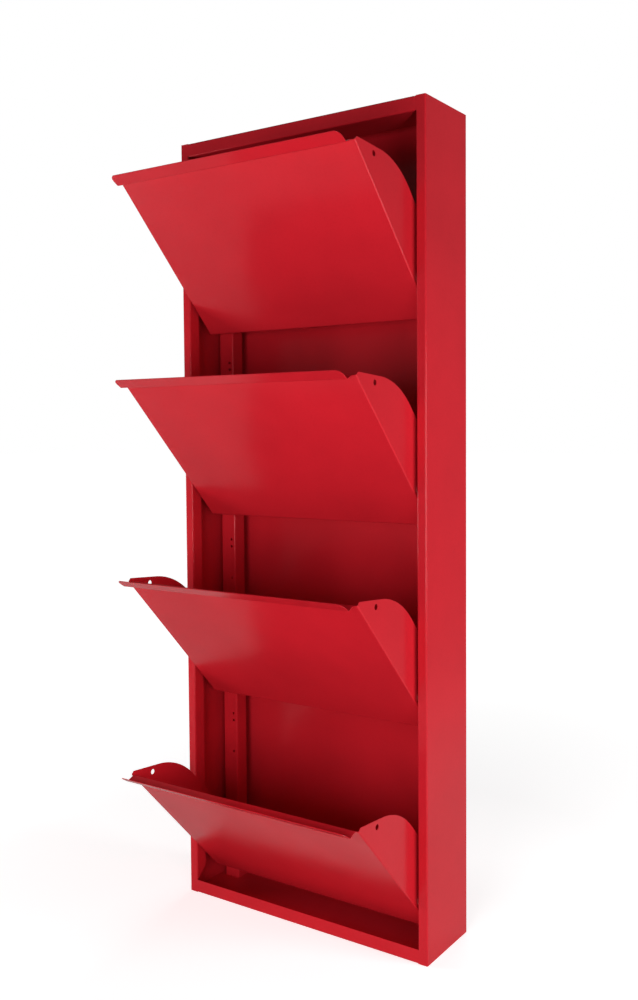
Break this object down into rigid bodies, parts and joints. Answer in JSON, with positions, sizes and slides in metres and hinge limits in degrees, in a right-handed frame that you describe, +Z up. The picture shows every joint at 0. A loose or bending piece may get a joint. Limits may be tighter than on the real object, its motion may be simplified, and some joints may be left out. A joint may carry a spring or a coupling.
{
  "type": "tip-out shoe cabinet",
  "caption": "Tall slim sheet-steel shoe cabinet whose tip-out bins hinge forward on side pivots and come to rest against padded stop rails.",
  "frame": {"origin": "centre of the underside of the case, on the floor", "axes": "+X right as seen from the front, -Y front (the bins tip towards it), +Z up"},
  "size_m": [0.5, 0.3436, 1.37],
  "materials": {
    "red_case": "glossy red powder coat on sheet steel",
    "red_bins": "glossy red powder coat on sheet steel",
    "red_stop_rails": "glossy red powder coat on sheet steel",
    "zinc_bolts": "bright zinc plate",
    "zinc_nuts": "bright zinc plate",
    "nylon_spacers": "natural nylon",
    "rubber_buffers": "matt black"
  },
  "bodies": {
    "case": {"back_panel": "red_case", "bin_1_buffer_left": "rubber_buffers", "bin_1_buffer_right": "rubber_buffers", "bin_1_lock_nut_left": "zinc_nuts", "bin_1_lock_nut_right": "zinc_nuts", "bin_1_pivot_bolt_left": "zinc_bolts", "bin_1_pivot_bolt_right": "zinc_bolts", "bin_1_spacer_left": "nylon_spacers", "bin_1_spacer_right": "nylon_spacers", "bin_2_buffer_left": "rubber_buffers", "bin_2_buffer_right": "rubber_buffers", "bin_2_lock_nut_left": "zinc_nuts", "bin_2_lock_nut_right": "zinc_nuts", "bin_2_pivot_bolt_left": "zinc_bolts", "bin_2_pivot_bolt_right": "zinc_bolts", "bin_2_spacer_left": "nylon_spacers", "bin_2_spacer_right": "nylon_spacers", "bin_3_buffer_left": "rubber_buffers", "bin_3_buffer_right": "rubber_buffers", "bin_3_lock_nut_left": "zinc_nuts", "bin_3_lock_nut_right": "zinc_nuts", "bin_3_pivot_bolt_left": "zinc_bolts", "bin_3_pivot_bolt_right": "zinc_bolts", "bin_3_spacer_left": "nylon_spacers", "bin_3_spacer_right": "nylon_spacers", "bin_4_buffer_left": "rubber_buffers", "bin_4_buffer_right": "rubber_buffers", "bin_4_lock_nut_left": "zinc_nuts", "bin_4_lock_nut_right": "zinc_nuts", "bin_4_pivot_bolt_left": "zinc_bolts", "bin_4_pivot_bolt_right": "zinc_bolts", "bin_4_spacer_left": "nylon_spacers", "bin_4_spacer_right": "nylon_spacers", "bottom_panel": "red_case", "side_panel_left": "red_case", "side_panel_right": "red_case", "stop_rail_left": "red_stop_rails", "stop_rail_right": "red_stop_rails", "top_panel": "red_case"},
    "bin_1": {"bin_1_shell": "red_bins", "bin_1_toe_pan": "red_bins"},
    "bin_2": {"bin_2_shell": "red_bins", "bin_2_toe_pan": "red_bins"},
    "bin_3": {"bin_3_shell": "red_bins", "bin_3_toe_pan": "red_bins"},
    "bin_4": {"bin_4_shell": "red_bins", "bin_4_toe_pan": "red_bins"}
  },
  "joints": [
    {"name": "bin_1_tip", "type": "hinge", "parent": "case", "child": "bin_1", "pos_m": [0, -0.055, 1.0922], "axis": [-1, 0, 0], "range_deg": [0, 43.5]},
    {"name": "bin_2_tip", "type": "hinge", "parent": "case", "child": "bin_2", "pos_m": [0, -0.055, 0.7602], "axis": [-1, 0, 0], "range_deg": [0, 43.5]},
    {"name": "bin_3_tip", "type": "hinge", "parent": "case", "child": "bin_3", "pos_m": [0, -0.055, 0.4282], "axis": [-1, 0, 0], "range_deg": [0, 43.5]},
    {"name": "bin_4_tip", "type": "hinge", "parent": "case", "child": "bin_4", "pos_m": [0, -0.055, 0.0962], "axis": [-1, 0, 0], "range_deg": [0, 43.5]}
  ]
}
